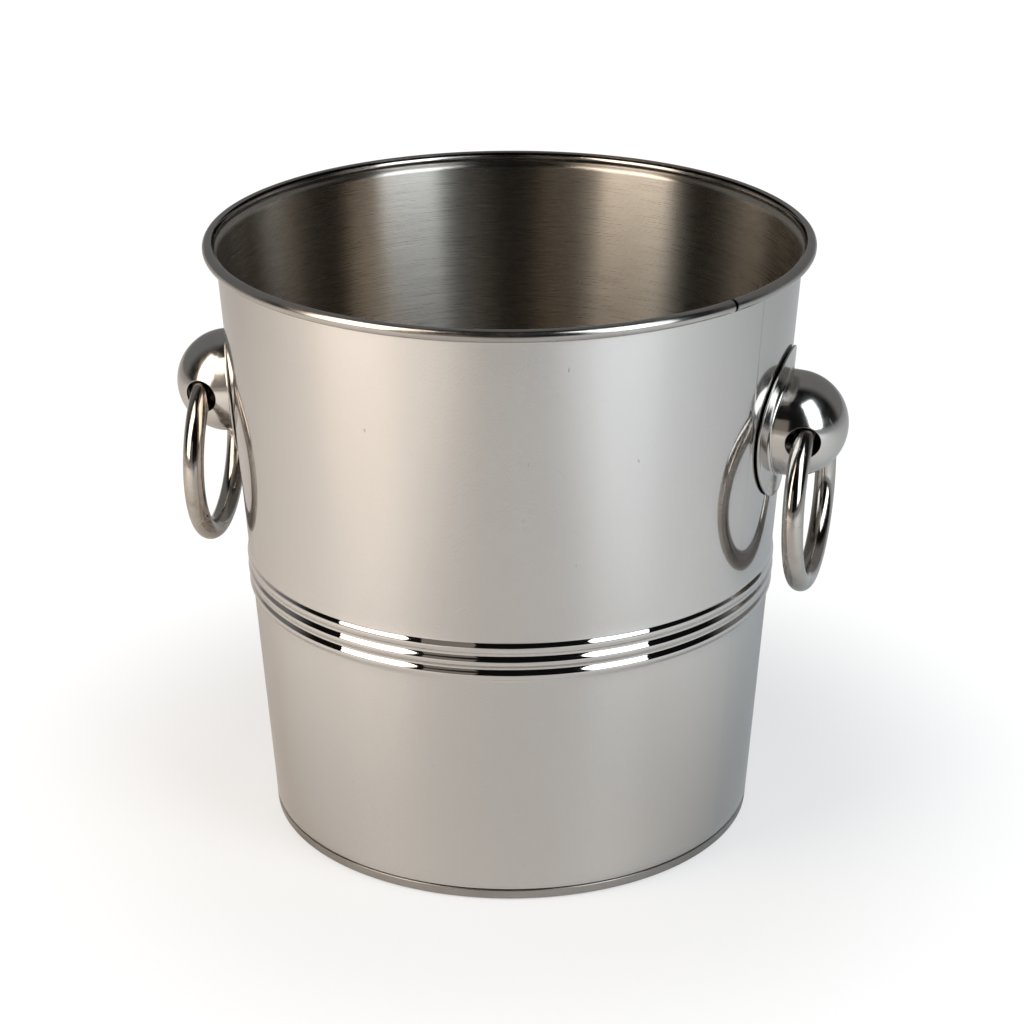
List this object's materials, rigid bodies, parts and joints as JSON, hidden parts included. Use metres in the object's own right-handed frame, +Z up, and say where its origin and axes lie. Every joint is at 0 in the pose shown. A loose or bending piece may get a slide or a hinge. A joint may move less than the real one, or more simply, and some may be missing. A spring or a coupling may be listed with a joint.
{
  "type": "champagne bucket",
  "caption": "Tapered round steel ice bucket with a rolled tube rim, three swaged beads and a swinging ring handle on a domed knob at each side.",
  "frame": {"origin": "middle of the foot's underside, on the surface that the bucket stands on", "axes": "+Z up along the bucket's axis; the two handles are near +X and -X, each 3.2 degrees round towards the front, which is -Y"},
  "size_m": [0.2508, 0.2204, 0.2232],
  "materials": {
    "satin_steel": "satin-polished sheet, circumferential brushing inside",
    "polished_rim": "bright polished tube",
    "brushed_base": "brushed in rings, slightly duller than the wall",
    "mirror_steel": "mirror polished",
    "ring_wire": "polished wire with fine wear",
    "fixings": "plain bright fixings",
    "seal_rubber": "matt grey-black"
  },
  "bodies": {
    "bucket": {"bucket_wall": "satin_steel", "rim_tube": "polished_rim", "base_pan": "brushed_base", "back_plate_right": "mirror_steel", "knob_right": "mirror_steel", "fixing_screw_right": "fixings", "steel_washer_right": "fixings", "seal_washer_right": "seal_rubber", "nut_right": "fixings", "back_plate_left": "mirror_steel", "knob_left": "mirror_steel", "fixing_screw_left": "fixings", "steel_washer_left": "fixings", "seal_washer_left": "seal_rubber", "nut_left": "fixings"},
    "right_ring": {"ring_right": "ring_wire"},
    "left_ring": {"ring_left": "ring_wire"}
  },
  "joints": [
    {"name": "right_ring_swing", "type": "hinge", "parent": "bucket", "child": "right_ring", "pos_m": [0.11243, -0.00629, 0.15981], "axis": [-0.0558, -0.9984, 0], "range_deg": [-10, 179]},
    {"name": "left_ring_swing", "type": "hinge", "parent": "bucket", "child": "left_ring", "pos_m": [-0.11243, -0.00629, 0.15981], "axis": [-0.0558, 0.9984, 0], "range_deg": [-10, 179]}
  ]
}
